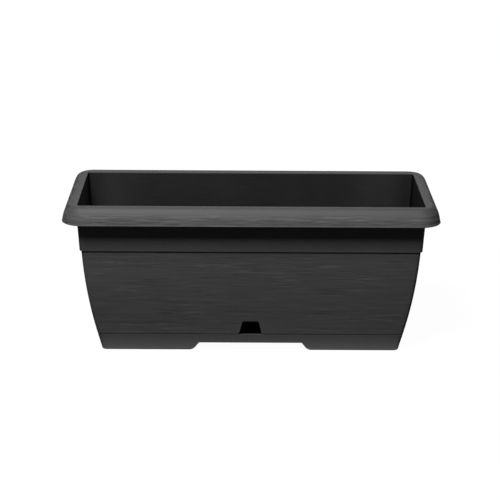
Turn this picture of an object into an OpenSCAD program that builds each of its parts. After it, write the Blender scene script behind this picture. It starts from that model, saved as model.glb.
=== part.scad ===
// Rectangular trough planter with a rolled rim, standing on a push-fit water tray.
// Millimetres, +Z up, front towards -Y. The origin is on the ground under the middle.
// Both mouldings are one wall profile carried round a rounded rectangle. A profile
// point is [how far in from the rim's outer edge, height, corner radius seen from above].

/* [Overall] */
// Length over the rim
rim_length = 600; // [500:10:1000]
// Depth over the rim, front to back
rim_depth = 250; // [230:5:400]
// Height from the ground to the top of the rim
height = 256.7; // [220:0.1:400]

/* [Rim] */
// How far the rim's lip stands out from the collar
rim_overhang = 24.2; // [21:0.1:32]
// Height of the rim from its crown down to its lip
rim_drop = 28; // [20:0.5:40]
// How far the crown lies in from the lip
crown_in = 13.9; // [10:0.1:16]
// How much lower the inner edge of the rim is than its crown
inner_edge_drop = 1.8; // [0.5:0.1:4]
// Fullness of the rim's front: 1 is a straight slope and 2 is an ellipse
rim_fullness = 1.7; // [1.4:0.1:2.4]
// Corner radius of the rim, seen from above
rim_corner_r = 35; // [26:1:60]
// Corner radius of the opening, seen from above
mouth_corner_r = 4; // [3:0.5:10]
// Radius between the collar and the underside of the rim
under_rim_r = 4; // [2:0.5:6]
// Thickness of a stiffening web under the rim
web_t = 2; // [1.5:0.1:3]
// Height of a stiffening web at the collar
web_h = 11; // [9:0.5:16]
// Stiffening webs under each long side of the rim
long_webs = 5; // [2:1:9]
// Stiffening webs under each end of the rim
end_webs = 2; // [1:1:4]

/* [Walls] */
// Wall thickness of the planter
wall_t = 2.6; // [2:0.1:4]
// Height of the collar's lower edge
collar_z = 179.2; // [130:0.1:185]
// How far the collar stands out from the wall under it
collar_step = 2.4; // [1:0.1:4]
// Lean of the collar and of the top of the wall, in degrees
wall_lean = 3.2; // [1:0.1:5]
// Radius of the wall's curve, seen from the end
wall_curve_r = 875; // [700:5:2000]
// Corner radius of the walls, seen from above
wall_corner_r = 6; // [5:0.5:12]

/* [Planter floor] */
// Height of the top of the floor
floor_z = 60; // [58:0.5:72]
// Radius between the floor and the wall
floor_r = 6; // [3:0.5:12]
// Diameter of a drain hole
drain_d = 7; // [5:0.5:10]
// Drain holes in one row
drain_count = 6; // [3:1:7]
// Distance between neighbouring drain holes
drain_pitch = 36; // [20:1:40]
// Distance between the two rows of drain holes
drain_rows = 90; // [60:1:100]
// Thickness of a floor rib
rib_t = 2; // [1.5:0.1:3]
// Height of a floor rib
rib_h = 7; // [4:0.5:9]

/* [Soil wells] */
// Inner diameter of a well at the floor
well_top_d = 72; // [62:1:80]
// Inner diameter of a well at its bottom
well_bottom_d = 58; // [40:1:60]
// Wall thickness of a well
well_t = 2.2; // [1.8:0.1:3]
// Gap between a well and the tray's floor
well_clear = 4; // [2:0.5:8]
// Slots round a well
slot_count = 12; // [6:1:16]
// Width of a slot
slot_w = 3; // [2:0.5:4]
// Height of a slot
slot_h = 14; // [8:1:18]

/* [Notch] */
// Width of the filling notch at its foot
notch_foot_w = 37.5; // [30:0.5:50]
// Width of the filling notch at its top
notch_top_w = 26; // [20:1:30]
// Height of the filling notch
notch_h = 24.3; // [18:0.1:25]
// Radius of the notch's top corners
notch_r = 4; // [2:0.5:5]
// Flare of the notch's foot on each side
notch_flare = 1.6; // [0.5:0.1:3]

/* [Water tray] */
// Height of the seam between the tray and the planter
seam_z = 30; // [26:0.1:32]
// Wall and floor thickness of the tray
tray_t = 2.4; // [2:0.1:3.5]
// Height of the bevels that form the shadow line at the seam
seam_bevel = 1; // [0.5:0.1:1.4]
// How far the tray's side is set in from the planter's
tray_set_in = 0; // [0:0.1:1.5]
// Height of the tray's upstand inside the planter
upstand_h = 8; // [5:0.5:10]
// Thickness of the upstand
upstand_t = 2.2; // [1.8:0.1:3]
// Clearance between the upstand and the planter
fit_gap = 0.4; // [0.3:0.1:0.8]
// Radius between the tray's side and its underside
foot_edge_r = 4; // [2:0.5:6]
// Width of the raised middle between the feet, at its top
arch_w = 168; // [120:1:180]
// Height of the raised middle above the ground
arch_h = 14.2; // [8:0.1:16]
// Radius at the inner end of a foot
arch_foot_r = 12; // [8:1:18]
// Slope of a foot's inner end, in degrees
arch_slope = 55; // [45:1:60]

/* [Hidden] */

// Facets of one rounded corner, and steps along each stretch of a profile
corner_steps = 8;
rim_steps = 12;
wall_steps = 12;
short_steps = 4;
$fn = 48;

lip_z = height - rim_drop;
floor_under_z = floor_z - wall_t;
mouth_in = face_in(height - inner_edge_drop) + wall_t;
inner_corner_r = wall_corner_r - wall_t;
collar_edge = collar_step / 3;
seam_in = face_in(seam_z);
upstand_in = seam_in + wall_t + fit_gap;
well_bottom_z = tray_t + well_clear;
well_h = floor_z - well_bottom_z;
well_r_slope = (well_top_d - well_bottom_d) / 2 / well_h;
// Inner end of a foot on the ground, and the middle of the foot, where a well reaches into it
arch_fall = (arch_h - arch_foot_r * (1 - cos(arch_slope))) / tan(arch_slope);
arch_foot_x = arch_w / 2 + arch_fall + arch_foot_r * sin(arch_slope);
well_x = (arch_foot_x + rim_length / 2 - tray_side_in(0)) / 2;
// Reach of a cut past the face that it opens
cut_over = 1;

// Outer face of the planter

// The collar is straight. The wall under it is set in by the step and follows an arc.
function collar_in(z) = rim_overhang + (lip_z - z) * tan(wall_lean);
function lean(z) = asin(sin(wall_lean) + (collar_z - z) / wall_curve_r);
function arc_in(z) = wall_curve_r * (cos(wall_lean) - cos(lean(z)));
function face_in(z) =
    z >= collar_z ? collar_in(z) : collar_in(collar_z) + collar_step + arc_in(z);

// Corner radius of the rim: parallel to the lip out to the crown, then closing to the mouth
function rim_r(inset, end_in, end_r) =
    inset <= crown_in ? rim_corner_r - inset
    : let (share = (inset - crown_in) / (end_in - crown_in))
      (rim_corner_r - crown_in) * (1 - share) + end_r * share;

// Profiles

function steps(from, to, count) = [for (k = [0 : count]) from + (to - from) * k / count];

// Part of the rim from the lip to the crown, with its surface set back by t
function rim_front(t, up) = [
    for (a = steps(up ? 0 : 90, up ? 90 : 0, rim_steps))
        let (inset = crown_in - (crown_in - t) * pow(cos(a), 2 / rim_fullness),
             z = lip_z + (rim_drop - t) * pow(sin(a), 2 / rim_fullness))
        [inset, z, rim_r(inset, mouth_in, mouth_corner_r)]
];

// Fillet from the collar to the underside of the rim
function under_rim() =
    let (top_z = height - wall_t - inner_edge_drop,
         side_in = collar_in(top_z - under_rim_r))
    [for (a = steps(0, 90, short_steps))
        let (inset = side_in - under_rim_r * (1 - cos(a)),
             z = top_z - under_rim_r * (1 - sin(a)))
        [inset, z, rim_r(inset, side_in, wall_corner_r)]];

// Rounded top of the rim from the crown to the mouth
function rim_top() = [
    for (a = steps(90, 0, short_steps * 2))
        let (inset = crown_in + (mouth_in - crown_in) * cos(a),
             z = height - inner_edge_drop * (1 - sin(a)))
        if (a < 90) [inset, z, rim_r(inset, mouth_in, mouth_corner_r)]
];

function shell_outside() = concat(
    [[seam_in + wall_t, seam_z, inner_corner_r],
     [seam_in + seam_bevel, seam_z, wall_corner_r - seam_bevel]],
    [for (z = steps(seam_z + seam_bevel, collar_z - collar_edge, wall_steps))
        [face_in(z), z, wall_corner_r]],
    [[collar_in(collar_z) + collar_edge, collar_z, wall_corner_r],
     [collar_in(collar_z), collar_z + collar_edge, wall_corner_r]],
    under_rim(),
    rim_front(wall_t, false),
    rim_front(0, true)
);

// The inner face keeps the wall thickness, with a shoulder over the collar's edge
function shell_inside() =
    let (shoulder_z = collar_z + wall_t)
    concat(
        rim_top(),
        [[collar_in(shoulder_z) + wall_t, shoulder_z, inner_corner_r],
         [face_in(collar_z - collar_edge) + wall_t, shoulder_z - collar_edge, inner_corner_r]],
        [for (z = steps(collar_z - collar_edge, floor_z + floor_r, wall_steps))
            [face_in(z) + wall_t, z, inner_corner_r]],
        [for (a = steps(0, 90, short_steps))
            if (a > 0)
                [face_in(floor_z + floor_r) + wall_t + floor_r * (1 - cos(a)),
                 floor_z + floor_r * (1 - sin(a)),
                 inner_corner_r]]
    );

function skirt_inside() = [
    for (z = steps(floor_under_z, seam_z + seam_bevel, short_steps))
        [face_in(z) + wall_t, z, inner_corner_r]
];

// The tray's side goes straight on from the lean of the wall at the seam
function tray_side_in(z) = seam_in + tray_set_in + (seam_z - z) * tan(lean(seam_z));

// Side of the tray up to top_z, set back by t, with a rounded lower edge. It never comes
// nearer to the outside than least_in, so that the inside opens upwards.
function tray_side(t, top_z, least_in) = concat(
    [for (a = steps(90, 0, short_steps))
        [max(tray_side_in(foot_edge_r) + t, least_in) + foot_edge_r * (1 - cos(a)),
         t + foot_edge_r * (1 - sin(a)),
         wall_corner_r]],
    [for (z = steps(foot_edge_r + t, top_z, short_steps * 2))
        if (z > foot_edge_r + t) [max(tray_side_in(z) + t, least_in), z, wall_corner_r]]
);

function tray_outside() = concat(
    tray_side(0, seam_z - seam_bevel, 0),
    [[tray_side_in(seam_z) + seam_bevel, seam_z, wall_corner_r - seam_bevel],
     [upstand_in, seam_z, inner_corner_r],
     [upstand_in, seam_z + upstand_h, inner_corner_r]]
);

function tray_inside() = concat(
    tray_side(tray_t, seam_z, upstand_in + upstand_t),
    [[upstand_in + upstand_t, seam_z + upstand_h + cut_over, wall_corner_r]]
);

// Solids from profiles

function ring(point) =
    let (across = rim_length / 2 - point[0] - point[2],
         along = rim_depth / 2 - point[0] - point[2])
    [for (corner = [0 : 3], k = [0 : corner_steps])
        let (a = 90 * (corner + k / corner_steps))
        [(corner == 0 || corner == 3 ? across : -across) + point[2] * cos(a),
         (corner < 2 ? along : -along) + point[2] * sin(a),
         point[1]]];

// Closed solid through one ring for each profile point, with a flat cap at each end
module carried_round(profile) {
    side = 4 * (corner_steps + 1);
    last = len(profile) - 1;
    points = [for (point = profile) each ring(point)];
    walls = [
        for (row = [0 : last - 1], k = [0 : side - 1])
            let (a = row * side + k,
                 b = row * side + (k + 1) % side)
            each [[a, a + side, b + side], [a, b + side, b]]
    ];
    caps = [
        [for (k = [0 : side - 1]) k],
        [for (k = [side - 1 : -1 : 0]) last * side + k]
    ];
    polyhedron(points, concat(walls, caps), convexity = 10);
}

// Planter

module at_wells() {
    for (side = [-1, 1])
        translate([side * well_x, 0, 0]) children();
}

module well_body() {
    translate([0, 0, well_bottom_z])
        cylinder(h = well_h - wall_t / 2, d1 = well_bottom_d + 2 * well_t,
                 d2 = well_top_d + 2 * well_t - wall_t * well_r_slope);
}

module well_hollow() {
    hollow_z = well_bottom_z + well_t;
    reach = well_h - well_t + cut_over;
    translate([0, 0, hollow_z])
        cylinder(h = reach, d1 = well_bottom_d, d2 = well_bottom_d + 2 * well_r_slope * reach);
}

module well_slots() {
    reach = well_bottom_d / 2 + well_t + slot_h;
    for (k = [0 : slot_count - 1])
        rotate([0, 0, 360 * (k + 0.5) / slot_count])
            translate([well_bottom_d / 2 - 3 * slot_w, -slot_w / 2, well_bottom_z - cut_over])
                cube([reach - well_bottom_d / 2, slot_w, slot_h + cut_over]);
}

// Places of count things along a line, pitch apart about the middle
function spread(count, pitch) = [for (k = [0 : count - 1]) (k - (count - 1) / 2) * pitch];

module drain_holes() {
    for (x = spread(drain_count, drain_pitch), y = spread(2, drain_rows))
        translate([x, y, floor_under_z - cut_over])
            cylinder(h = wall_t + 2 * cut_over, d = drain_d);
}

// One rib along the middle between the wells, and a cross rib between neighbouring holes
module floor_ribs() {
    rib_z = floor_under_z - rib_h;
    rib_full = rib_h + wall_t / 2;
    long_l = 2 * well_x - well_top_d;
    cross_l = rim_depth - 2 * (face_in(rib_z) + wall_t + rib_h);
    translate([-long_l / 2, -rib_t / 2, rib_z]) cube([long_l, rib_t, rib_full]);
    for (x = spread(drain_count - 1, drain_pitch))
        translate([x - rib_t / 2, -cross_l / 2, rib_z]) cube([rib_t, cross_l, rib_full]);
}

// Web between the collar and the rim, drawn as [distance in from the lip, height]
module rim_web() {
    half_t = wall_t / 2;
    web_z = height - wall_t - web_h;
    front = [for (p = rim_front(half_t, true)) if (p[1] > web_z) [p[0], p[1]]];
    foot_a = asin(pow((web_z - lip_z) / (rim_drop - half_t), rim_fullness / 2));
    foot_in = crown_in - (crown_in - half_t) * pow(cos(foot_a), 2 / rim_fullness);
    rotate([90, 0, 90])
        linear_extrude(height = web_t, center = true)
            polygon(concat(
                [[foot_in, web_z]],
                front,
                [[collar_in(height) + half_t, height - inner_edge_drop - half_t],
                 [collar_in(web_z) + half_t, web_z]]));
}

// Webs spread over the straight part of each side of the rim
module webs_along(count, side_l, side_y) {
    for (x = spread(count, (side_l - 2 * rim_corner_r) / count))
        translate([x, -side_y / 2, 0]) rim_web();
}

module rim_webs() {
    for (turn = [0, 180])
        rotate([0, 0, turn]) webs_along(long_webs, rim_length, rim_depth);
    for (turn = [90, 270])
        rotate([0, 0, turn]) webs_along(end_webs, rim_depth, rim_length);
}

// Filling notch: slanted sides, rounded top corners and a flared foot, as half an outline
function notch_half() =
    let (side_a = atan((notch_foot_w - notch_top_w) / 2 / notch_h),
         turn = 90 - side_a,
         corner_x = notch_top_w / 2 - notch_r * tan(turn / 2),
         slope = tan(side_a),
         flare_z = notch_flare * 2)
    concat(
        [[notch_foot_w / 2 + notch_flare, -cut_over],
         [notch_foot_w / 2 + notch_flare, 0],
         [notch_foot_w / 2 - slope * flare_z / 2 + notch_flare / 4, flare_z / 2],
         [notch_foot_w / 2 - slope * flare_z, flare_z]],
        [for (a = steps(0, turn, short_steps))
            [corner_x + notch_r * cos(side_a + a), notch_h - notch_r + notch_r * sin(side_a + a)]]
    );

module notch_cut() {
    half = notch_half();
    mirrored = [for (k = [len(half) - 1 : -1 : 0]) [-half[k][0], half[k][1]]];
    front_y = -rim_depth / 2 + face_in(seam_z + notch_h) - cut_over;
    depth = face_in(seam_z) - face_in(seam_z + notch_h) + wall_t + 2 * cut_over;
    translate([0, front_y + depth, seam_z])
        rotate([90, 0, 0])
            linear_extrude(height = depth)
                polygon(concat(half, mirrored));
}

module planter_shell() {
    color("#3b3b3d")
        difference() {
            union() {
                carried_round(concat(skirt_inside(), shell_outside(), shell_inside()));
                at_wells() well_body();
                floor_ribs();
                rim_webs();
            }
            at_wells() {
                well_hollow();
                well_slots();
            }
            drain_holes();
            notch_cut();
        }
}

// Water tray

// Space under the raised middle, or, with t, the tray's raised floor over it
module arch(t) {
    end_r = arch_foot_r - t;
    top_x = arch_w / 2 + t * tan(arch_slope / 2);
    half = concat(
        [[arch_foot_x, t - cut_over]],
        [for (a = steps(0, arch_slope, short_steps))
            [arch_foot_x - end_r * sin(a), arch_foot_r - end_r * cos(a)]],
        [[top_x, arch_h + t]]);
    mirrored = [for (k = [len(half) - 1 : -1 : 0]) [-half[k][0], half[k][1]]];
    rotate([90, 0, 0])
        linear_extrude(height = rim_depth, center = true)
            polygon(concat(half, mirrored));
}

// Gap in the upstand behind the filling notch
module upstand_gap() {
    gap_w = notch_foot_w + 2 * notch_flare + 2;
    translate([-gap_w / 2, -rim_depth / 2, seam_z])
        cube([gap_w, upstand_in + upstand_t + cut_over, upstand_h + cut_over]);
}

module water_tray() {
    color("#38383a")
        difference() {
            carried_round(tray_outside());
            difference() {
                carried_round(tray_inside());
                arch(tray_t);
            }
            arch(0);
            upstand_gap();
        }
}

planter_shell();
water_tray();
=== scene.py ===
"""Looks of a dark grey trough planter and its water tray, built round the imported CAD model.

Lengths are metres, +Z up, the front towards -Y and the origin on the ground under the middle.
Both mouldings are a wall profile carried round a rounded rectangle: a profile point says how
far in from the rim's lip it lies, how high it is and how round the plan's corners are there.
"""

import math

import bmesh
import bpy
import numpy as np
from mathutils import Matrix, Vector


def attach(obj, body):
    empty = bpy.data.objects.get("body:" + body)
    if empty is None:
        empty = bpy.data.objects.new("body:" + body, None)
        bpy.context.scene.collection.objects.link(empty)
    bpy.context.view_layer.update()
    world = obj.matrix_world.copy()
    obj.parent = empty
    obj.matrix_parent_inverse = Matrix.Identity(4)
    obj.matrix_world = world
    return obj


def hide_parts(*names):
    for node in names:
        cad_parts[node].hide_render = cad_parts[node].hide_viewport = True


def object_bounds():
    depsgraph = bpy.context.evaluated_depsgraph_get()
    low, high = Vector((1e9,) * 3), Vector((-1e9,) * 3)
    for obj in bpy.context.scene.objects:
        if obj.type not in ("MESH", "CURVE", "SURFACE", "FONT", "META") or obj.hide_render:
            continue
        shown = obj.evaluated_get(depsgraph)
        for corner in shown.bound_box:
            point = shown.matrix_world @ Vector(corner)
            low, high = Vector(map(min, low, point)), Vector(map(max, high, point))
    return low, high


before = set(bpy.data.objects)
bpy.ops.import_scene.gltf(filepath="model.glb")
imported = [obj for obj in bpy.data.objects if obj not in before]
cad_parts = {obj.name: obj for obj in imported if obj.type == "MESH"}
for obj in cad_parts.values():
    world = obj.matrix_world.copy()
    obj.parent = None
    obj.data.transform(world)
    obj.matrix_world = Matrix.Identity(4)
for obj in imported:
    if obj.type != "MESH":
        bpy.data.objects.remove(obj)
cad_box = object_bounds()

MM = 0.001

# Overall sizes, from the frame
low, high = cad_box
RIM_L = high.x - low.x
RIM_D = high.y - low.y
HEIGHT = high.z - low.z

# Rim
RIM_OVERHANG = 24.2 * MM
RIM_DROP = 28 * MM
CROWN_IN = 13.9 * MM
INNER_EDGE_DROP = 1.8 * MM
MOUTH_EDGE_R = 0.6 * MM
RIM_FULLNESS = 1.7
RIM_CORNER_R = 35 * MM
MOUTH_CORNER_R = 4 * MM
UNDER_RIM_R = 4 * MM
LIP_EDGE_R = 0.8 * MM
LIP_BAND_H = 2.4 * MM
LIP_BAND_OUT = 0.45 * MM
LIP_BAND_EDGE = 1.3 * MM
WEB_T = 2 * MM
WEB_H = 11 * MM
LONG_WEBS = 5
END_WEBS = 2

# Walls
WALL_T = 2.6 * MM
COLLAR_Z = 179.2 * MM
COLLAR_STEP = 2.4 * MM
COLLAR_EDGE = COLLAR_STEP / 3
WALL_LEAN = math.radians(3.2)
WALL_CURVE_R = 875 * MM
WALL_CORNER_R = 6 * MM
INNER_CORNER_R = WALL_CORNER_R - WALL_T

# Floor, drain holes and ribs
FLOOR_Z = 60 * MM
FLOOR_UNDER_Z = FLOOR_Z - WALL_T
FLOOR_R = 6 * MM
DRAIN_R = 3.5 * MM
DRAIN_EDGE = 0.5 * MM
DRAIN_COUNT = 6
DRAIN_PITCH = 36 * MM
DRAIN_ROWS = 90 * MM
RIB_T = 2 * MM
RIB_H = 7 * MM
RIB_EDGE = 0.4 * MM

# Notch in the skirt
NOTCH_FOOT = 18.75 * MM
NOTCH_TOP = 13 * MM
NOTCH_H = 24.3 * MM
NOTCH_R = 4 * MM
NOTCH_FLARE = 1.6 * MM

# Water tray
SEAM_Z = 30 * MM
TRAY_T = 2.4 * MM
SEAM_BEVEL = 1 * MM
SEAM_GROOVE_H = 1.2 * MM
SEAM_GROOVE_D = 1.3 * MM
TRAY_RIM_R = 0.3 * MM
UPSTAND_H = 8 * MM
UPSTAND_T = 2.2 * MM
UPSTAND_EDGE_R = 0.7 * MM
UPSTAND_GAP_X = NOTCH_FOOT + NOTCH_FLARE + 1 * MM
GAP_EDGE_R = 0.05 * MM
FIT_GAP = 0.4 * MM
FOOT_EDGE_R = 4 * MM
ARCH_EDGE_R = 1 * MM
ARCH_W = 168 * MM
ARCH_H = 14.2 * MM
ARCH_FOOT_R = 12 * MM
ARCH_SLOPE = math.radians(55)

# Soil wells
WELL_TOP_R = 36 * MM
WELL_BOTTOM_R = 29 * MM
WELL_T = 2.2 * MM
WELL_BOTTOM_Z = TRAY_T + 4 * MM
WELL_EDGE_R = 1.5 * MM
WELL_FOOT_R = 3 * MM
WELL_MIDDLE_R = 8 * MM
SLOT_COUNT = 12
SLOT_W = 3 * MM
SLOT_H = 14 * MM
SLOT_START_R = WELL_BOTTOM_R - 3 * SLOT_W
SLOT_TOP_Z = WELL_BOTTOM_Z + SLOT_H

# Moulded wood grain: its depths, and the share of it that faces have where the walls have 1
WALL_GRAIN_D = 0.12 * MM
RIM_GRAIN_D = 0.18 * MM
RIM_GRAIN = 1.9
COLLAR_GRAIN = 0.15
LINING_GRAIN = 0.4

# Meshes: spacing of rows and columns, and how they are finished
GRAIN_ROW = 0.9 * MM
COLLAR_ROW = 2.5 * MM
LINING_ROW = 7 * MM
SHELL_COLUMN = 7 * MM
TRAY_COLUMN = 8 * MM
CORNER_STEPS = 9
MERGE_DISTANCE = 0.002 * MM
SHARP_ANGLE = math.radians(38)

LIP_Z = HEIGHT - RIM_DROP


def collar_in(z):
    """Inset of the collar's outer face: a straight line that leans in downwards."""
    return RIM_OVERHANG + (LIP_Z - z) * math.tan(WALL_LEAN)


def wall_lean(z):
    """Lean of the wall: its sine grows evenly downwards, as along a circle's arc."""
    return np.arcsin(math.sin(WALL_LEAN) + np.maximum(COLLAR_Z - np.asarray(z), 0) / WALL_CURVE_R)


def face_in(z):
    """Inset of the outer face: the collar's line, and under its step an arc of a circle."""
    arc = WALL_CURVE_R * (math.cos(WALL_LEAN) - np.cos(wall_lean(z)))
    return np.where(z >= COLLAR_Z, collar_in(z), collar_in(COLLAR_Z) + COLLAR_STEP + arc)


MOUTH_IN = float(face_in(HEIGHT - INNER_EDGE_DROP)) + WALL_T
SEAM_IN = float(face_in(SEAM_Z))
SEAM_SLOPE = math.tan(float(wall_lean(SEAM_Z)))
UPSTAND_IN = SEAM_IN + WALL_T + FIT_GAP


def tray_side_in(z):
    """Inset of the tray's side: a straight line that goes on from the wall at the seam."""
    return SEAM_IN + (SEAM_Z - z) * SEAM_SLOPE


ARCH_FALL = (ARCH_H - ARCH_FOOT_R * (1 - math.cos(ARCH_SLOPE))) / math.tan(ARCH_SLOPE)
ARCH_FOOT_X = ARCH_W / 2 + ARCH_FALL + ARCH_FOOT_R * math.sin(ARCH_SLOPE)
WELL_X = (ARCH_FOOT_X + RIM_L / 2 - tray_side_in(0)) / 2
WELL_SLOPE = (WELL_TOP_R - WELL_BOTTOM_R) / (FLOOR_Z - WELL_BOTTOM_Z)


def turn(start, end, steps):
    """Angles in radians, evenly spaced from start to end, which are degrees."""
    return np.radians(np.linspace(start, end, steps + 1))


def quarter(steps):
    """Quarter of a circle of radius 1 that leaves one line and runs into the line across it:
    its distance off the first, 1 - cos, and its distance short of the second, 1 - sin."""
    angle = turn(0, 90, steps)
    return np.stack([1 - np.cos(angle), 1 - np.sin(angle)])


def eased(value, start, end):
    """0 before start and 1 after end, with the smooth step 3t² - 2t³ between."""
    t = np.clip((value - start) / (end - start), 0, 1)
    return t * t * (3 - 2 * t)


def spaced(start, end, step):
    """Evenly spaced values from start to end, about step apart, without the end."""
    return np.linspace(start, end, max(1, round(abs(end - start) / step)), endpoint=False)


def spread(count, pitch):
    """Places of count things along a line, pitch apart about the middle."""
    return (np.arange(count) - (count - 1) / 2) * pitch


def both_sides(half):
    """The values of one half and their opposites, each once and rising."""
    return np.unique(np.concatenate([-half, half]))


# Outlines seen from the front, as the x of one half and the height there


def notch_outline():
    """Half of the filling notch: flared foot, slanted side and a round corner at the top."""
    lean = math.atan((NOTCH_FOOT - NOTCH_TOP) / NOTCH_H)
    slope = math.tan(lean)
    corner = math.pi / 2 - lean
    corner_x = NOTCH_TOP - NOTCH_R * math.tan(corner / 2)
    angle = lean + np.linspace(0, corner, 9)
    x = [NOTCH_FOOT + NOTCH_FLARE,
         NOTCH_FOOT - slope * NOTCH_FLARE + NOTCH_FLARE / 4,
         NOTCH_FOOT - slope * 2 * NOTCH_FLARE,
         *(corner_x + NOTCH_R * np.cos(angle))]
    z = [0, NOTCH_FLARE, 2 * NOTCH_FLARE, *(NOTCH_H - NOTCH_R + NOTCH_R * np.sin(angle))]
    return np.array(x), np.array(z)


def arch_outline(above):
    """Half of the tray's raised middle, at a distance above its underside: an arc of a circle,
    a slope and the end of the flat top."""
    angle = np.linspace(0, ARCH_SLOPE, 8)
    foot_r = ARCH_FOOT_R - above
    x = [*(ARCH_FOOT_X - foot_r * np.sin(angle)), ARCH_W / 2 + above * math.tan(ARCH_SLOPE / 2)]
    z = [*(ARCH_FOOT_R - foot_r * np.cos(angle)), ARCH_H + above]
    return np.array(x), np.array(z)


# Plan: the columns of every grid


class Plan:
    """Columns round a rounded rectangle, anticlockwise from the middle of the left end.

    A column's point is core + radius * direction. The core is the rectangle through the
    corners' centres, scaled from a reference core, and as far as HOLD from the middle of the
    long sides a column keeps its own x, so that the notch and the arch stay upright.
    """

    HOLD = 112 * MM

    def __init__(self, long_x, end_step):
        self.ref = (RIM_L / 2 - SEAM_IN - WALL_CORNER_R, RIM_D / 2 - SEAM_IN - WALL_CORNER_R)
        end_half = np.arange(0, self.ref[1] - end_step / 2, end_step)
        corner = turn(0, 90, CORNER_STEPS)
        table = np.concatenate([
            self._straight(-self.ref[0], -end_half, (-1, 0)),
            self._corner(-1, -1, corner + math.pi),
            self._straight(long_x, -self.ref[1], (0, -1)),
            self._corner(1, -1, corner + 1.5 * math.pi),
            self._straight(self.ref[0], both_sides(end_half), (1, 0)),
            self._corner(1, 1, corner),
            self._straight(long_x[::-1], self.ref[1], (0, 1)),
            self._corner(-1, 1, corner + math.pi / 2),
            self._straight(-self.ref[0], end_half[:0:-1], (-1, 0)),
        ])
        self.core, self.dir = table[:, :2], table[:, 2:]
        self.count = len(table)
        self.front = np.flatnonzero(np.isclose(self.dir[:, 1], -1))
        self.back = np.flatnonzero(np.isclose(self.dir[:, 1], 1))[::-1]
        ring = self.core + WALL_CORNER_R * self.dir
        step = np.linalg.norm(np.roll(ring, -1, 0) - ring, axis=1)
        self.along = np.concatenate([[0], np.cumsum(step)])

    @staticmethod
    def _straight(x, y, direction):
        """Columns of a straight side: a core for each, and one direction for all."""
        return np.stack(np.broadcast_arrays(x, y, *map(float, direction)), axis=1)

    def _corner(self, side_x, side_y, angle):
        """Columns of a corner: one core for all, and a direction for each angle."""
        core = (side_x * self.ref[0], side_y * self.ref[1])
        return np.stack(np.broadcast_arrays(*core, np.cos(angle), np.sin(angle)), axis=1)

    def points(self, skin):
        """Grid of points from a skin's insets, heights and corner radii."""
        inset, z, radius = np.moveaxis(skin[..., :3], 2, 0)
        half_l = RIM_L / 2 - inset - radius
        half_d = RIM_D / 2 - inset - radius
        core_x = np.abs(self.core[:, 0])
        far = self.HOLD + (core_x - self.HOLD) * (half_l - self.HOLD) / (self.ref[0] - self.HOLD)
        x = np.sign(self.core[:, 0]) * np.where(core_x < self.HOLD, core_x, far)
        y = self.core[:, 1] * half_d / self.ref[1]
        return np.stack([x + radius * self.dir[:, 0], y + radius * self.dir[:, 1], z], axis=2)

    def raised(self, *sides, outline):
        """Height of a half outline under each column of the given sides, and 0 elsewhere."""
        out_x, out_z = outline
        height = np.zeros(self.count)
        for side in sides:
            height[side] = np.interp(np.abs(self.core[side, 0]), out_x[::-1], out_z[::-1])
        return height

    def band(self, inset, z, radius, grain=0.0, rub=0.0, inside=0.0):
        """Rows of a skin: inset, height and corner radius, then how much moulded grain, how
        much worn edge and painted highlight, and how much inner face with its painted shade. Each
        is one number, one number a row, or a table of rows and columns."""
        channels = [np.asarray(c, float) for c in (inset, z, radius, grain, rub, inside)]
        channels = [c[:, None] if c.ndim == 1 else c for c in channels]
        *channels, _ = np.broadcast_arrays(*channels, np.zeros((1, self.count)))
        return np.stack(channels, axis=2)

    def across(self, row_start):
        """Faces that close a ring: strips from front to back, and a polygon at each end."""
        front, back = self.front + row_start, self.back + row_start
        strips = np.stack([front[:-1], front[1:], back[1:], back[:-1]], axis=1)
        left = np.r_[self.back[0]:self.count, 0:self.front[0] + 1] + row_start
        right = np.r_[self.front[-1]:self.back[-1] + 1] + row_start
        return strips, left[None], right[None]


# Moulded wood grain


def streaks(along, z, loop, length, pitch, seed):
    """Smooth noise from -1 to 1: random levels on a lattice that closes round the plan, with
    cells length long and pitch high, and the smooth step 3t² - 2t³ between its points."""
    rows, around = 256, max(4, round(loop / length))
    level = np.random.default_rng(seed).uniform(-1, 1, (rows, around))
    column, row = along / loop * around, z / pitch
    left, below = np.floor(column).astype(int), np.floor(row).astype(int)
    rightward, upward = eased(column - left, 0, 1), eased(row - below, 0, 1)
    left, right = left % around, (left + 1) % around
    below, above = below % rows, (below + 1) % rows
    lower = level[below, left] * (1 - rightward) + level[below, right] * rightward
    upper = level[above, left] * (1 - rightward) + level[above, right] * rightward
    return lower * (1 - upward) + upper * upward


def wood(along, z, loop, length, pitch, wave):
    """Depth of the grain from 0 to 1: streaks of a length and pitch whose heights are bent by
    slower noise of the size wave, with finer streaks between them."""
    bent = z + wave * streaks(along, z, loop, 34 * MM, 9 * MM, seed=11)
    bent += wave / 3 * streaks(along, z, loop, 14 * MM, 5 * MM, seed=12)
    coarse = streaks(along, bent, loop, length, pitch, seed=13)
    fine = streaks(along, bent, loop, length / 2, pitch * 0.6, seed=14)
    return np.clip(0.5 + 0.45 * coarse + 0.3 * fine, 0, 1)


def outward(grid):
    """Unit normals of a closed grid: the cross product of the steps along its columns and the
    steps up its rows, over its own length."""
    across = np.roll(grid, -1, 1) - np.roll(grid, 1, 1)
    up = np.gradient(grid, axis=0)
    normal = np.cross(across, up)
    return normal / np.maximum(np.linalg.norm(normal, axis=2, keepdims=True), 1e-12)


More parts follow.
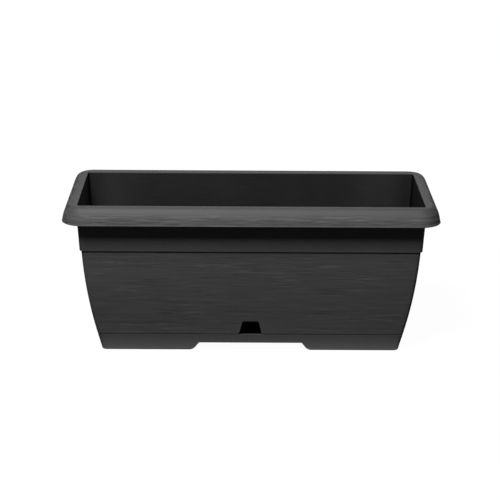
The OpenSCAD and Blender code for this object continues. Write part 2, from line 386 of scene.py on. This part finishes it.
def grained(plan, skin):
    """Points of a skin, set back along their normals by the grain: its depth from 0 to 1 times
    the skin's share of grain times a depth in metres. In the skin, the share is multiplied by
    the depth from 0 to 1 too, for the material's tone and relief."""
    grid = plan.points(skin)
    along, loop = plan.along[:-1], plan.along[-1]
    z = skin[..., 1]
    on_rim = z > LIP_Z
    wavy = wood(along, z, loop, length=20 * MM, pitch=1.6 * MM, wave=2.2 * MM)
    straight = wood(along, z, loop, length=44 * MM, pitch=2.1 * MM, wave=0.35 * MM)
    skin[..., 3] *= np.where(on_rim, wavy, straight)
    deep = skin[..., 3] * np.where(on_rim, RIM_GRAIN_D, WALL_GRAIN_D)
    return grid - outward(grid) * deep[..., None]


# Meshes from grids


def quads(row_count, column_count):
    """Faces between neighbouring rows of a grid that closes on itself along its columns."""
    index = np.arange(row_count * column_count).reshape(row_count, column_count)
    after = np.roll(index, -1, 1)
    return np.stack([index[:-1], after[:-1], after[1:], index[1:]], axis=2).reshape(-1, 4)


def perforated(row_count, column_count, keep):
    """Faces of a wall between two grids of one shape, with open cells where keep is False
    and the sides of those openings from one grid to the other."""
    index = np.arange(row_count * column_count).reshape(row_count, column_count)
    after = np.roll(index, -1, 1)
    far = index.size
    cells = np.stack([index[:-1], after[:-1], after[1:], index[1:]], axis=2)[keep]
    beside = keep != np.roll(keep, 1, 1)
    below, above = index[:-1][beside], index[1:][beside]
    upright = np.stack([below, above, above + far, below + far], axis=1)
    between = keep[1:] != keep[:-1]
    here, there = index[1:-1][between], after[1:-1][between]
    level = np.stack([here, there, there + far, here + far], axis=1)
    return np.concatenate([cells, cells[:, ::-1] + far, upright, level])


class Moulding:
    """Points and faces gathered from several grids, with the grain and painted light of each
    point: how much grain, how much worn edge and painted highlight, and how much inner face with
    its painted shade."""

    def __init__(self, name):
        self.name = name
        self.points, self.finish, self.faces = [], [], []
        self.total = 0

    def add(self, points, *blocks, finish=(0, 0, 0)):
        """Adds points, and blocks of faces that count from 0 within them."""
        points = points.reshape(-1, 3)
        finish = np.asarray(finish, float).reshape(-1, 3)
        self.points.append(points)
        self.finish.append(np.broadcast_to(finish, points.shape))
        for block in blocks:
            self.faces += (block + self.total).tolist()
        self.total += len(points)

    def add_grid(self, grid, finish=(0, 0, 0)):
        """Adds a grid that closes on itself along its columns."""
        self.add(grid, quads(*grid.shape[:2]), finish=finish)

    def add_prism(self, outline, direction):
        """Adds a prism: an outline of points, and the same outline moved along direction."""
        outline = np.asarray(outline, float)
        count = len(outline)
        here = np.arange(count)
        after = np.roll(here, -1)
        sides = np.stack([here, after, after + count, here + count], axis=1)
        caps = np.stack([here[::-1], here + count])
        self.add(np.concatenate([outline, outline + np.asarray(direction)]), sides, caps)

    def piece(self, levels, body, node, slot):
        """Blender object of it all: doubles merged, the flat faces at the given levels filled
        round their holes, faces outwards, smooth up to sharp edges."""
        mesh = bpy.data.meshes.new(self.name)
        mesh.from_pydata(np.concatenate(self.points), [], self.faces)
        finish = mesh.attributes.new("finish", "FLOAT_VECTOR", "POINT")
        finish.data.foreach_set("vector", np.concatenate(self.finish).astype(np.float32).ravel())
        shape = bmesh.new()
        shape.from_mesh(mesh)
        bmesh.ops.remove_doubles(shape, verts=shape.verts, dist=MERGE_DISTANCE)
        for z in levels:
            edges = [e for e in shape.edges
                     if e.is_boundary and max(abs(v.co.z - z) for v in e.verts) < 0.01 * MM]
            bmesh.ops.triangle_fill(shape, use_beauty=True, edges=edges)
        bmesh.ops.recalc_face_normals(shape, faces=shape.faces)
        shape.to_mesh(mesh)
        shape.free()
        mesh.shade_smooth()
        mesh.set_sharp_from_angle(angle=SHARP_ANGLE)
        made = bpy.data.objects.new(self.name, mesh)
        bpy.context.scene.collection.objects.link(made)
        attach(made, body)
        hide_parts(node)
        return made


# Planter


def rim_r(inset, end_in, end_r):
    """Corner radius of the rim: parallel to the lip as far in as the crown, then evenly to the
    radius end_r at the inset end_in."""
    share = (inset - CROWN_IN) / (end_in - CROWN_IN)
    closing = (RIM_CORNER_R - CROWN_IN) * (1 - share) + end_r * share
    return np.where(inset <= CROWN_IN, RIM_CORNER_R - inset, closing)


def rim_front(angle, behind):
    """Inset and height of the rim between lip and crown, at a distance behind its front: a
    full ellipse, with the cosine and the sine to the power 2 / fullness."""
    inset = CROWN_IN - (CROWN_IN - behind) * np.cos(angle) ** (2 / RIM_FULLNESS)
    return inset, LIP_Z + (RIM_DROP - behind) * np.sin(angle) ** (2 / RIM_FULLNESS)


def rim_rows(plan, inset, z, **finish):
    """Rows of the rim, with its own corner radius at each inset."""
    return plan.band(inset, z, rim_r(inset, MOUTH_IN, MOUTH_CORNER_R), **finish)


def skirt_and_wall(plan):
    """Skirt's inner face down to the seam, its lower edge with the notch, the groove over the
    seam, and the grained outer wall, whose rows are level from above the notch."""
    base = SEAM_Z + plan.raised(plan.front, outline=notch_outline())
    share = np.linspace(0, 1, 9)[:, None]
    z = FLOOR_UNDER_Z + (base + SEAM_BEVEL / 2 - FLOOR_UNDER_Z) * share
    # The skirt's inner face takes the painted inner shade.
    rows = [plan.band(face_in(z) + WALL_T, z, INNER_CORNER_R, inside=1)]
    edge_in = face_in(base)[None]
    off, short = SEAM_BEVEL / 2 * quarter(3)[:, 1:, None]
    rows.append(plan.band(edge_in + WALL_T - off, base + short, INNER_CORNER_R))
    deep = np.where(base > SEAM_Z, SEAM_BEVEL / 2, SEAM_GROOVE_D)
    groove_in, groove_up = np.array([[1, 1, 0.3, 0.08, 0], [0, 0.75, 0.84, 0.93, 1]])[..., None]
    rows.append(plan.band(edge_in + deep * groove_in, base + SEAM_GROOVE_H * groove_up,
                          WALL_CORNER_R - deep * groove_in))
    over_notch, top = SEAM_Z + NOTCH_H + 8 * MM, COLLAR_Z - COLLAR_EDGE / 3
    share = spaced(0, 1, GRAIN_ROW / (over_notch - SEAM_Z))[1:, None]
    beside = base + SEAM_GROOVE_H + (over_notch - base - SEAM_GROOVE_H) * share
    level = spaced(over_notch, top, GRAIN_ROW)[:, None] + np.zeros(plan.count)
    z = np.concatenate([beside, level])
    grain = eased(z - base, SEAM_GROOVE_H, 4 * MM) * eased(top - z, 0, 3 * MM)
    rows.append(plan.band(face_in(z), z, WALL_CORNER_R, grain=grain))
    return rows


def step_and_collar(plan):
    """Collar's lower edge, rounded, its plain face, and the fillet under the rim."""
    under_in = float(face_in(COLLAR_Z - COLLAR_EDGE))
    rows = [plan.band([under_in, under_in - COLLAR_EDGE / 4],
                      [COLLAR_Z - COLLAR_EDGE / 4, COLLAR_Z], WALL_CORNER_R)]
    off, short = COLLAR_EDGE * quarter(5)
    rows.append(plan.band(collar_in(COLLAR_Z) + short, COLLAR_Z + off, WALL_CORNER_R, rub=0.8))
    top = HEIGHT - WALL_T - INNER_EDGE_DROP
    z = spaced(COLLAR_Z + COLLAR_EDGE, top - UNDER_RIM_R, COLLAR_ROW)[1:]
    rows.append(plan.band(collar_in(z), z, WALL_CORNER_R, grain=COLLAR_GRAIN))
    side_in = collar_in(top - UNDER_RIM_R)
    off, short = UNDER_RIM_R * quarter(6)
    inset = side_in - off
    rows.append(plan.band(inset, top - short, rim_r(inset, side_in, WALL_CORNER_R)))
    return rows


def rim(plan):
    """Rim's underside from crown to lip, the lip's rounded edge and smooth band, the grained
    front that is set back from the band, and the rounded top down to the mouth."""
    inset, z = rim_front(turn(90, 3, 22), WALL_T)
    rows = [rim_rows(plan, inset, z)]
    off, short = LIP_EDGE_R * quarter(3)
    rows.append(rim_rows(plan, WALL_T - off, LIP_Z + short))
    rows.append(rim_rows(plan, short, LIP_Z + off, rub=0.7))
    angle = turn(4, 90, 46)
    inset, z = rim_front(angle, 0)
    degrees = np.degrees(angle)
    above = eased(z, LIP_Z + LIP_BAND_H - LIP_BAND_EDGE, LIP_Z + LIP_BAND_H)
    set_back = LIP_BAND_OUT * above * (1 - eased(degrees, 30, 70))
    grain = RIM_GRAIN * above * (1 - eased(degrees, 34, 52))
    # Painted highlight: the rim's front is lightest about 44 degrees up, less towards the lip and
    # none towards the crown.
    rub = 0.45 + 0.45 * eased(degrees, 28, 44) - 0.9 * eased(degrees, 42, 74)
    rows.append(rim_rows(plan, inset + set_back, z, grain=grain, rub=rub))
    share = np.linspace(0, 1, 8)[1:]
    flat_drop = INNER_EDGE_DROP - MOUTH_EDGE_R
    # Painted highlight on the rim's top flat, growing towards the mouth.
    rows.append(rim_rows(plan, CROWN_IN + (MOUTH_IN - MOUTH_EDGE_R - CROWN_IN) * share,
                         HEIGHT - flat_drop * share ** 2, rub=0.3 * eased(share, 0.3, 0.8)))
    off, short = MOUTH_EDGE_R * quarter(5)[:, 1:]
    rows.append(rim_rows(plan, MOUTH_IN - short, HEIGHT - flat_drop - off))
    return rows


def inner_shade_share(plan):
    """Share of painted shade on each column's inner faces: 1, more on the end walls and in the
    inner corners, less towards the ends of the long sides, and no more than a limit."""
    on_end, on_side = (plan.dir ** 2).T
    from_corner = np.abs(plan.core).max(0) - np.abs(plan.core)
    in_corner = (1 - eased(from_corner, 0, 26 * MM)).prod(1)
    far_along = eased(np.abs(plan.core[:, 0]), 90 * MM, 210 * MM)
    share = 1 + 0.25 * on_end + 0.2 * in_corner - 0.13 * (on_side * far_along)
    return np.minimum(share, 1.34)[None]


def lining(plan):
    """Inner faces: the collar's, the shoulder over its step, the wall's and the floor's fillet."""
    # Painted shade on all these inner faces, more on the end walls and in the inner corners.
    inside = inner_shade_share(plan)
    top, shoulder_z = HEIGHT - INNER_EDGE_DROP, COLLAR_Z + WALL_T
    near_mouth = top - np.array([0.6, 1.2, 2.0]) * MM
    z = np.concatenate([near_mouth, spaced(top, shoulder_z, LINING_ROW)[1:]])
    radius = INNER_CORNER_R + (MOUTH_CORNER_R - INNER_CORNER_R) * eased(z, shoulder_z, HEIGHT)
    # The painted inner shade and the lining's grain fade in from 1 to 3 mm under the mouth's edge.
    under_edge = eased(HEIGHT - z, 1 * MM, 3 * MM)
    rows = [plan.band(collar_in(z) + WALL_T, z, radius, grain=LINING_GRAIN * under_edge,
                      inside=under_edge[:, None] * inside)]
    off, short = COLLAR_EDGE / 2 * quarter(3)
    rows.append(plan.band(collar_in(shoulder_z) + WALL_T + off,
                          shoulder_z - COLLAR_EDGE / 2 + short, INNER_CORNER_R, inside=inside))
    z = spaced(COLLAR_Z - COLLAR_EDGE, FLOOR_Z + FLOOR_R, LINING_ROW)
    rows.append(plan.band(face_in(z) + WALL_T, z, INNER_CORNER_R, inside=inside))
    off, short = FLOOR_R * quarter(6)
    rows.append(plan.band(face_in(FLOOR_Z + FLOOR_R) + WALL_T + off, FLOOR_Z + short,
                          INNER_CORNER_R, inside=1))
    return rows


def polar(radius, z, angle, centre):
    """Grid of points round an upright axis, a row for each radius and height."""
    x = centre[0] + radius[:, None] * np.cos(angle)
    y = centre[1] + radius[:, None] * np.sin(angle)
    return np.stack(np.broadcast_arrays(x, y, z[:, None]), axis=2)


def well_face(bottom_r, bottom_z, top_z):
    """Radius and height of one face of a well, from the middle of its bottom up to the floor:
    flat bottom, rounded foot, tapered side from the slots' top up, and flared edge."""
    flat = np.array([WELL_MIDDLE_R, SLOT_START_R, SLOT_START_R + SLOT_W])
    foot_off, foot_short = WELL_FOOT_R * quarter(4)
    side = np.linspace(SLOT_TOP_Z, FLOOR_UNDER_Z - WELL_EDGE_R, 7)
    edge_off, edge_short = WELL_EDGE_R * quarter(3)
    top_r = bottom_r + WELL_SLOPE * (top_z - WELL_EDGE_R - bottom_z)
    radius = [flat, bottom_r - foot_short, bottom_r + WELL_SLOPE * (side - bottom_z),
              top_r + edge_off]
    z = [flat * 0 + bottom_z, bottom_z + foot_off, side, top_z - edge_short]
    return np.concatenate(radius), np.concatenate(z)


def add_well(moulding, centre):
    """Tapered cup under the floor. Its slots keep their width: in each row the slot's edges
    lie at the angle whose sine is half the width over the radius."""
    inner_r, inner_z = well_face(WELL_BOTTOM_R, WELL_BOTTOM_Z + WELL_T, FLOOR_Z)
    outer_r, outer_z = well_face(WELL_BOTTOM_R + WELL_T, WELL_BOTTOM_Z, FLOOR_UNDER_Z)
    pitch = 2 * math.pi / SLOT_COUNT
    middle = pitch * (np.arange(SLOT_COUNT) + 0.5)
    half = np.arcsin(SLOT_W / 2 / inner_r)[:, None]
    share = np.array([0, 0.25, 0.5, 0.75])
    one = np.concatenate([-half, half + (pitch - 2 * half) * share], axis=1)
    angle = (middle[:, None] + one[:, None, :]).reshape(len(inner_r), -1)
    row_count, column_count = angle.shape
    keep = np.ones((row_count - 1, column_count), bool)
    in_slot = (inner_r[:-1] >= SLOT_START_R) & (inner_z[:-1] < SLOT_TOP_Z)
    keep[in_slot, ::one.shape[1]] = False
    inner = polar(inner_r, inner_z, angle, centre)
    outer = polar(outer_r, outer_z, angle, centre)
    middle_disc = np.arange(column_count)
    caps = np.stack([middle_disc[::-1], middle_disc + row_count * column_count])
    # The wells take the painted inner shade.
    moulding.add(np.concatenate([inner.reshape(-1, 3), outer.reshape(-1, 3)]),
                 perforated(row_count, column_count, keep), caps, finish=(0, 0, 1))


def add_drain(moulding, centre):
    """Drain hole: a short tube through the floor with rounded edges at both ends."""
    depth, flare = DRAIN_EDGE * quarter(3)
    radius = DRAIN_R + np.concatenate([flare, flare[::-1]])
    z = np.concatenate([FLOOR_Z - depth, FLOOR_UNDER_Z + depth[::-1]])
    # The drain holes take the painted inner shade.
    moulding.add_grid(polar(radius, z, turn(0, 360, 28)[:-1], centre), finish=(0, 0, 1))


def add_ribs(moulding):
    """Ribs under the floor: one along the middle between the wells, the others across, each
    a little thinner at its lower edge."""
    low_z, high_z = FLOOR_UNDER_Z - RIB_H, FLOOR_UNDER_Z + WALL_T / 2
    wide = np.array([-0.35, 0.35, 0.5, 0.6, -0.6, -0.5]) * RIB_T
    tall = np.array([low_z, low_z, low_z + RIB_EDGE, high_z, high_z, low_z + RIB_EDGE])
    flat = np.zeros(len(wide))
    long_l = 2 * WELL_X - 2 * WELL_TOP_R
    cross_l = RIM_D - 2 * (float(face_in(low_z)) + WALL_T + RIB_H)
    moulding.add_prism(np.stack([flat - long_l / 2, wide, tall], 1), (long_l, 0, 0))
    for x in spread(DRAIN_COUNT - 1, DRAIN_PITCH):
        moulding.add_prism(np.stack([x + wide, flat - cross_l / 2, tall], 1), (0, cross_l, 0))


def add_rim_webs(moulding):
    """Webs between the collar and the rim, under the rim: the profile of the space there."""
    half_t = WALL_T / 2
    web_z = HEIGHT - WALL_T - WEB_H
    foot = math.asin(((web_z - LIP_Z) / (RIM_DROP - half_t)) ** (RIM_FULLNESS / 2))
    inset, z = rim_front(np.linspace(foot, math.pi / 2, 12), half_t)
    inset = np.append(inset, [collar_in(HEIGHT) + half_t, collar_in(web_z) + half_t])
    z = np.append(z, [HEIGHT - INNER_EDGE_DROP - half_t, web_z])
    flat = np.full(len(z), WEB_T / 2)
    for side in (-1, 1):
        for x in spread(LONG_WEBS, (RIM_L - 2 * RIM_CORNER_R) / LONG_WEBS):
            outline = np.stack([x - flat, side * (RIM_D / 2 - inset), z], 1)
            moulding.add_prism(outline, (WEB_T, 0, 0))
        for y in spread(END_WEBS, (RIM_D - 2 * RIM_CORNER_R) / END_WEBS):
            outline = np.stack([side * (RIM_L / 2 - inset), y - flat, z], 1)
            moulding.add_prism(outline, (0, WEB_T, 0))


def planter():
    """The planter: one closed skin from the skirt's inside round the outside and the rim down
    to the floor, with wells, drain holes, ribs and webs."""
    notch_x = notch_outline()[0]
    middle = np.linspace(0, notch_x[-1], 3)[:-1]
    beside = np.arange(notch_x[0] + 5 * MM, RIM_L / 2 - SEAM_IN - 10 * MM, SHELL_COLUMN)
    plan = Plan(both_sides(np.concatenate([middle, notch_x, beside])), SHELL_COLUMN)
    skin = np.concatenate(skirt_and_wall(plan) + step_and_collar(plan) + rim(plan) + lining(plan))
    moulding = Moulding("planter_moulding")
    grid = grained(plan, skin)
    moulding.add_grid(grid, finish=skin[..., 3:])
    for side in (-1, 1):
        add_well(moulding, (side * WELL_X, 0))
        for x in spread(DRAIN_COUNT, DRAIN_PITCH):
            add_drain(moulding, (x, side * DRAIN_ROWS / 2))
    add_ribs(moulding)
    add_rim_webs(moulding)
    return moulding.piece((FLOOR_Z, FLOOR_UNDER_Z), "planter", "planter_shell", "planter_plastic")


# Water tray


def tray_side(plan, base, edge_r):
    """Tray's rounded lower edge over the feet and the arch, its side, and its edge at the seam."""
    off, short = edge_r * quarter(6)[:, ::-1, None]
    rows = [plan.band(tray_side_in(base + edge_r) + off, base + short, WALL_CORNER_R, rub=0.6)]
    share = np.linspace(0, 1, 12)[1:, None]
    z = base + edge_r + (SEAM_Z - TRAY_RIM_R - base - edge_r) * share
    rows.append(plan.band(tray_side_in(z), z, WALL_CORNER_R))
    off, short = TRAY_RIM_R * quarter(3)[:, 1:]
    rows.append(plan.band(SEAM_IN + off, SEAM_Z - short, WALL_CORNER_R - off))
    return rows


def upstand_and_lining(plan, floor, edge_r):
    """Upstand's outer face and rounded top, the inner face, which is the upstand's or the
    side's, whichever lies further in, and the fillet to the floor. Behind the notch the
    upstand is left out, down to the seam."""
    on_front = np.isin(np.arange(plan.count), plan.front)
    in_gap = on_front & (np.abs(plan.core[:, 0]) < UPSTAND_GAP_X + 0.1 * MM)
    top = SEAM_Z + np.where(in_gap, 0, UPSTAND_H)
    top_r = np.where(in_gap, GAP_EDGE_R, UPSTAND_EDGE_R)
    inner_in = UPSTAND_IN + UPSTAND_T
    share = np.linspace(0, 1, 4)[:, None]
    rows = [plan.band(UPSTAND_IN, SEAM_Z + (top - top_r - SEAM_Z) * share, INNER_CORNER_R)]
    off, short = top_r * quarter(3)[..., None]
    # From the upstand's rounded top inwards the faces take the painted inner shade.
    rows.append(plan.band(UPSTAND_IN + off[1:], top - short[1:], INNER_CORNER_R, inside=1))
    rows.append(plan.band(inner_in - off[::-1], top - short[::-1], WALL_CORNER_R, inside=1))
    share = np.linspace(0, 1, 9)[1:, None]
    z = top - top_r + (floor + edge_r - top + top_r) * share
    rows.append(plan.band(np.maximum(tray_side_in(z) + TRAY_T, inner_in), z, WALL_CORNER_R,
                          inside=1))
    off, short = edge_r * quarter(5)[:, 1:, None]
    side_in = np.maximum(tray_side_in(floor + edge_r) + TRAY_T, inner_in)
    rows.append(plan.band(side_in + off, floor + short, WALL_CORNER_R, inside=1))
    return rows


def water_tray():
    """The tray: one skin from the lower edge up the side, over the upstand and down to the
    raised floor, closed by the underside and by the floor. Its columns are close together at
    the gap in the upstand and on the arch's slopes."""
    outer_x, outer_z = arch_outline(0)
    inner_x, inner_z = arch_outline(TRAY_T)
    long_x = both_sides(np.concatenate([
        np.linspace(0, UPSTAND_GAP_X, 6)[:-1], [UPSTAND_GAP_X, UPSTAND_GAP_X + 0.3 * MM],
        np.linspace(UPSTAND_GAP_X + 6 * MM, ARCH_W / 2 - 2 * MM, 9), outer_x, inner_x[-1:],
        np.arange(ARCH_FOOT_X + 6 * MM, RIM_L / 2 - SEAM_IN - 8 * MM, TRAY_COLUMN)]))
    plan = Plan(long_x, TRAY_COLUMN)
    base = plan.raised(plan.front, plan.back, outline=(outer_x, outer_z))
    floor = TRAY_T + plan.raised(plan.front, plan.back, outline=(inner_x, inner_z - TRAY_T))
    edge_r = FOOT_EDGE_R + (ARCH_EDGE_R - FOOT_EDGE_R) * eased(base, 0, ARCH_H)
    skin = np.concatenate(tray_side(plan, base, edge_r) + upstand_and_lining(plan, floor, edge_r))
    moulding = Moulding("tray_moulding")
    last = (len(skin) - 1) * plan.count
    moulding.add(plan.points(skin), quads(*skin.shape[:2]), *plan.across(0), *plan.across(last),
                 finish=skin[..., 3:])
    return moulding.piece((), "water_tray", "water_tray", "tray_plastic")


# Materials


class Level:
    """A shader socket. An expression on levels and numbers adds the Math nodes it needs."""

    def __init__(self, paint, socket):
        self.paint, self.socket = paint, socket

    def output(self, name):
        return Level(self.paint, self.socket.node.outputs[name])

    def _math(self, operation, first, second):
        return self.paint.node("ShaderNodeMath", {"operation": operation}, {0: first, 1: second})

    def __add__(self, other):
        return self._math("ADD", self, other)

    def __radd__(self, other):
        return self._math("ADD", other, self)

    def __sub__(self, other):
        return self._math("SUBTRACT", self, other)

    def __rsub__(self, other):
        return self._math("SUBTRACT", other, self)

    def __mul__(self, other):
        return self._math("MULTIPLY", self, other)

    def __rmul__(self, other):
        return self._math("MULTIPLY", other, self)


class Paint:
    """The nodes of a material or of the world."""

    def __init__(self, tree):
        self.tree = tree
        tree.nodes.clear()

    def node(self, kind, settings=None, inputs=None, output=0):
        """One node: its type, its settings, and the values or levels of its sockets."""
        made = self.tree.nodes.new(kind)
        for name, value in (settings or {}).items():
            setattr(made, name, value)
        for name, value in (inputs or {}).items():
            if isinstance(value, Level):
                self.tree.links.new(value.socket, made.inputs[name])
            else:
                made.inputs[name].default_value = value
        return Level(self, made.outputs[output]) if made.outputs else made

    def place(self):
        """The object's own coordinates, in metres."""
        return self.node("ShaderNodeTexCoord").output("Object")

    def parts(self, vector):
        """The three levels of a vector."""
        split = self.node("ShaderNodeSeparateXYZ", None, {0: vector})
        return [split.output(axis) for axis in "XYZ"]

    def ramp(self, level, low, high):
        """0 below low and 1 above high, with the smooth step 3t² - 2t³ between."""
        return self.node("ShaderNodeMapRange", {"interpolation_type": "SMOOTHSTEP"},
                         {"Value": level, "From Min": low, "From Max": high})

    def noise(self, scale, detail=2.0, roughness=0.5, offset=(0, 0, 0)):
        """Noise on the object's own coordinates, with its own scale along each axis, per metre."""
        place = self.node("ShaderNodeMapping", None,
                          {"Vector": self.place(), "Location": offset, "Scale": scale})
        return self.node("ShaderNodeTexNoise", {"noise_dimensions": "3D"},
                         {"Vector": place, "Scale": 1.0, "Detail": detail, "Roughness": roughness})


def wood_strokes(paint, grain):
    """Strokes of the grain: long and fine streaks of noise, in patches, where there is grain."""
    long_streak = paint.noise((20, 20, 400), detail=3, roughness=0.55) - 0.5
    fine_streak = paint.noise((48, 48, 1100), detail=3, roughness=0.6, offset=(3, 1, 7)) - 0.5
    patch = paint.ramp(paint.noise((13, 13, 45), offset=(5, 2, 1)), 0.36, 0.62)
    return grain * (patch * (long_streak + 0.6 * fine_streak))


def end_strokes(paint):
    """Strokes on the rim's ends: noise drawn out along them, which fades in towards the end."""
    from_middle = paint.node("ShaderNodeMath", {"operation": "ABSOLUTE"},
                             {0: paint.parts(paint.place())[0]})
    at_end = paint.ramp(from_middle, RIM_L / 2 - 20 * MM, RIM_L / 2 - 13 * MM)
    drawn_out = paint.noise((260, 45, 260), detail=2, roughness=0.6, offset=(4, 8, 1))
    return at_end * (paint.ramp(drawn_out, 0.36, 0.64) - 0.5)


def moulded_plastic(piece, name, tone, inner_shaded_tone, roughness, specular):
    """Dark satin plastic: mottled grey, the moulded grain in its tone and relief, strokes on
    the rim's ends, a fine stipple, worn edges and a painted highlight on the rim a little lighter,
    and painted shade on the inner faces, which are also smoother."""
    material = bpy.data.materials.new(name)
    material.use_nodes = True
    paint = Paint(material.node_tree)
    finish = paint.node("ShaderNodeAttribute", {"attribute_name": "finish"}).output("Vector")
    grain, rub, inside = paint.parts(finish)

    cloud = paint.noise((9, 9, 9), detail=3) - 0.5
    speck = paint.noise((900, 900, 900), detail=2, roughness=0.6) - 0.5
    mottle = paint.noise((120, 120, 400), detail=2, roughness=0.6, offset=(7, 3, 2)) - 0.5
    stroke = wood_strokes(paint, grain)
    end_stroke = end_strokes(paint)

    shade = 1 + (0.2 + 0.7 * inside) * cloud + 0.12 * speck + 0.25 * mottle
    # The rubbed share lightens the worn edges of the collar, the lip and the tray's foot; on the
    # rim's front and top it is a painted highlight.
    shade = shade + 0.22 * grain + 2.9 * stroke + 0.42 * rub + 0.65 * end_stroke
    # Painted shade: the inside share darkens faces towards the inner tone, and beyond it on the
    # end walls and in the inner corners.
    shade = shade * (tone + inside * (inner_shaded_tone - tone))
    colour = paint.node("ShaderNodeVectorMath", {"operation": "SCALE"},
                        {0: (1.0, 1.0, 1.0), "Scale": shade})
    rough = roughness + 0.1 * cloud + 0.05 * speck + 0.3 * stroke - 0.04 * rub
    rough = rough - 0.2 * inside
    relief = 0.16 * stroke + 0.012 * speck + 0.02 * cloud + 0.25 * end_stroke
    bump = paint.node("ShaderNodeBump", None,
                      {"Height": relief, "Distance": 1 * MM, "Strength": 1.0})
    surface = paint.node("ShaderNodeBsdfPrincipled", None, {
        "Base Color": colour, "Roughness": rough, "Normal": bump, "IOR": 1.49,
        "Specular IOR Level": specular})
    paint.node("ShaderNodeOutputMaterial", None, {"Surface": surface})
    piece.data.materials.append(material)


# Stage


def seen(paint, glossy):
    """1 for rays that show the background: camera and transmission rays, and glossy rays by
    the given share."""
    path = paint.node("ShaderNodeLightPath")
    shown = path.output("Is Camera Ray") + path.output("Is Transmission Ray")
    shown = shown + glossy * path.output("Is Glossy Ray")
    return paint.node("ShaderNodeClamp", None, {"Value": shown})


def white_world(ambient, glossy):
    """World that is white to the camera, shows reflections the glossy level and lights the
    object at the ambient level."""
    world = bpy.data.worlds.new("studio")
    world.use_nodes = True
    paint = Paint(world.node_tree)
    strength = ambient + (1 - ambient) * seen(paint, glossy)
    light = paint.node("ShaderNodeBackground", None, {"Color": (1, 1, 1, 1), "Strength": strength})
    paint.node("ShaderNodeOutputWorld", None, {"Surface": light})
    bpy.context.scene.world = world


def studio_floor(albedo, glossy, shadow):
    """Wide floor just under the feet, which sends light on by its albedo. The rays that see
    the background find it white, and near the object a small share of it is lit by the lamps
    instead, which keeps the object's shadow."""
    half, under = 8.0, 0.05 * MM
    pale, white = 0.85, 1.02
    shadow_near, shadow_far = 0.4, 0.7
    mesh = bpy.data.meshes.new("floor")
    corners = [(-half, -half, -under), (half, -half, -under), (half, half, -under),
               (-half, half, -under)]
    mesh.from_pydata(corners, [], [(0, 1, 2, 3)])
    floor = bpy.data.objects.new("floor", mesh)
    bpy.context.scene.collection.objects.link(floor)
    material = bpy.data.materials.new("studio_floor")
    material.use_nodes = True
    paint = Paint(material.node_tree)
    shown = seen(paint, glossy)
    away = paint.node("ShaderNodeVectorMath", {"operation": "LENGTH"}, {0: paint.place()}, "Value")
    level = albedo + (pale - albedo) * shown
    colour = paint.node("ShaderNodeCombineColor", None, {0: level, 1: level, 2: level})
    lit = paint.node("ShaderNodeBsdfDiffuse", None, {"Color": colour})
    glow = paint.node("ShaderNodeEmission", None, {"Color": (1, 1, 1, 1), "Strength": white})
    share = shown * (1 - shadow + shadow * paint.ramp(away, shadow_near, shadow_far))
    mixed = paint.node("ShaderNodeMixShader", None, {0: share, 1: lit, 2: glow})
    paint.node("ShaderNodeOutputMaterial", None, {"Surface": mixed})
    mesh.materials.append(material)


def softbox(name, place, size, energy, aim=(0, 0, HEIGHT / 2), mirrored=True):
    """Area light at a place that faces the aim. It isn't seen, and a fill isn't mirrored."""
    light = bpy.data.lights.new(name, "AREA")
    light.shape = "RECTANGLE"
    light.size, light.size_y = size
    light.energy = energy
    lamp = bpy.data.objects.new(name, light)
    lamp.visible_camera = False
    lamp.visible_glossy = mirrored
    bpy.context.scene.collection.objects.link(lamp)
    facing = (Vector(place) - Vector(aim)).to_track_quat("Z", "Y").to_matrix().to_4x4()
    lamp.matrix_world = Matrix.Translation(place) @ facing


def camera():
    """Camera of the photograph: it looks 18 degrees down at its aim from a distance, a little
    rolled, and is turned a little about +Z together with its aim."""
    tilt, yaw, roll = map(math.radians, (18, 0.50, 0.44))
    aim, distance = Vector((-1.1 * MM, 0, HEIGHT - 105.7 * MM)), 2.668
    photo_px, focal_px = 500, 1615
    lens = bpy.data.cameras.new("camera")
    lens.sensor_width = 36
    lens.lens = 36 * focal_px / photo_px
    ahead = Vector((0, math.cos(tilt), -math.sin(tilt)))
    up = Vector((0, math.sin(tilt), math.cos(tilt)))
    across = Vector((1, 0, 0))
    right = across * math.cos(roll) + up * math.sin(roll)
    top = up * math.cos(roll) - across * math.sin(roll)
    turned = Matrix.Rotation(-yaw, 3, "Z")
    place = (turned @ Matrix((right, top, -ahead)).transposed()).to_4x4()
    place.translation = turned @ (aim - ahead * distance)
    viewer = bpy.data.objects.new("camera", lens)
    bpy.context.scene.collection.objects.link(viewer)
    viewer.matrix_world = place
    bpy.context.scene.camera = viewer


camera()
# Both inner tones are painted shade for the inner faces, wells and drain holes.
moulded_plastic(planter(), "planter_plastic", tone=0.054, inner_shaded_tone=0.014, roughness=0.64,
                specular=0.38)
moulded_plastic(water_tray(), "tray_plastic", tone=0.052, inner_shaded_tone=0.03, roughness=0.52,
                specular=0.4)
white_world(ambient=0.01, glossy=0.15)
studio_floor(albedo=0.07, glossy=0.0, shadow=0.045)
softbox("key_softbox", place=(-0.52, -1.43, 2.21), size=(0.7, 0.95), energy=77.5)
softbox("top_softbox", place=(0, 1.9, 1.6), size=(2.4, 0.8), energy=11)
softbox("back_fill", place=(0, 1.7, 0.12), size=(2.0, 0.24), energy=3, mirrored=False)
softbox("left_fill", place=(-1.15, 1.35, 0.12), size=(1.0, 0.24), energy=11, mirrored=False)
softbox("right_fill", place=(1.15, 1.35, 0.12), size=(1.0, 0.24), energy=9.5, mirrored=False)
for side in (-1, 1):
    glow_y = side * (RIM_D / 2 - tray_side_in(0) + 12 * MM)
    softbox("floor_glow", place=(0, glow_y, 1 * MM), size=(0.5, 22 * MM), energy=0.024,
            aim=(0, glow_y, 1))
bpy.context.scene.view_settings.view_transform = "Standard"
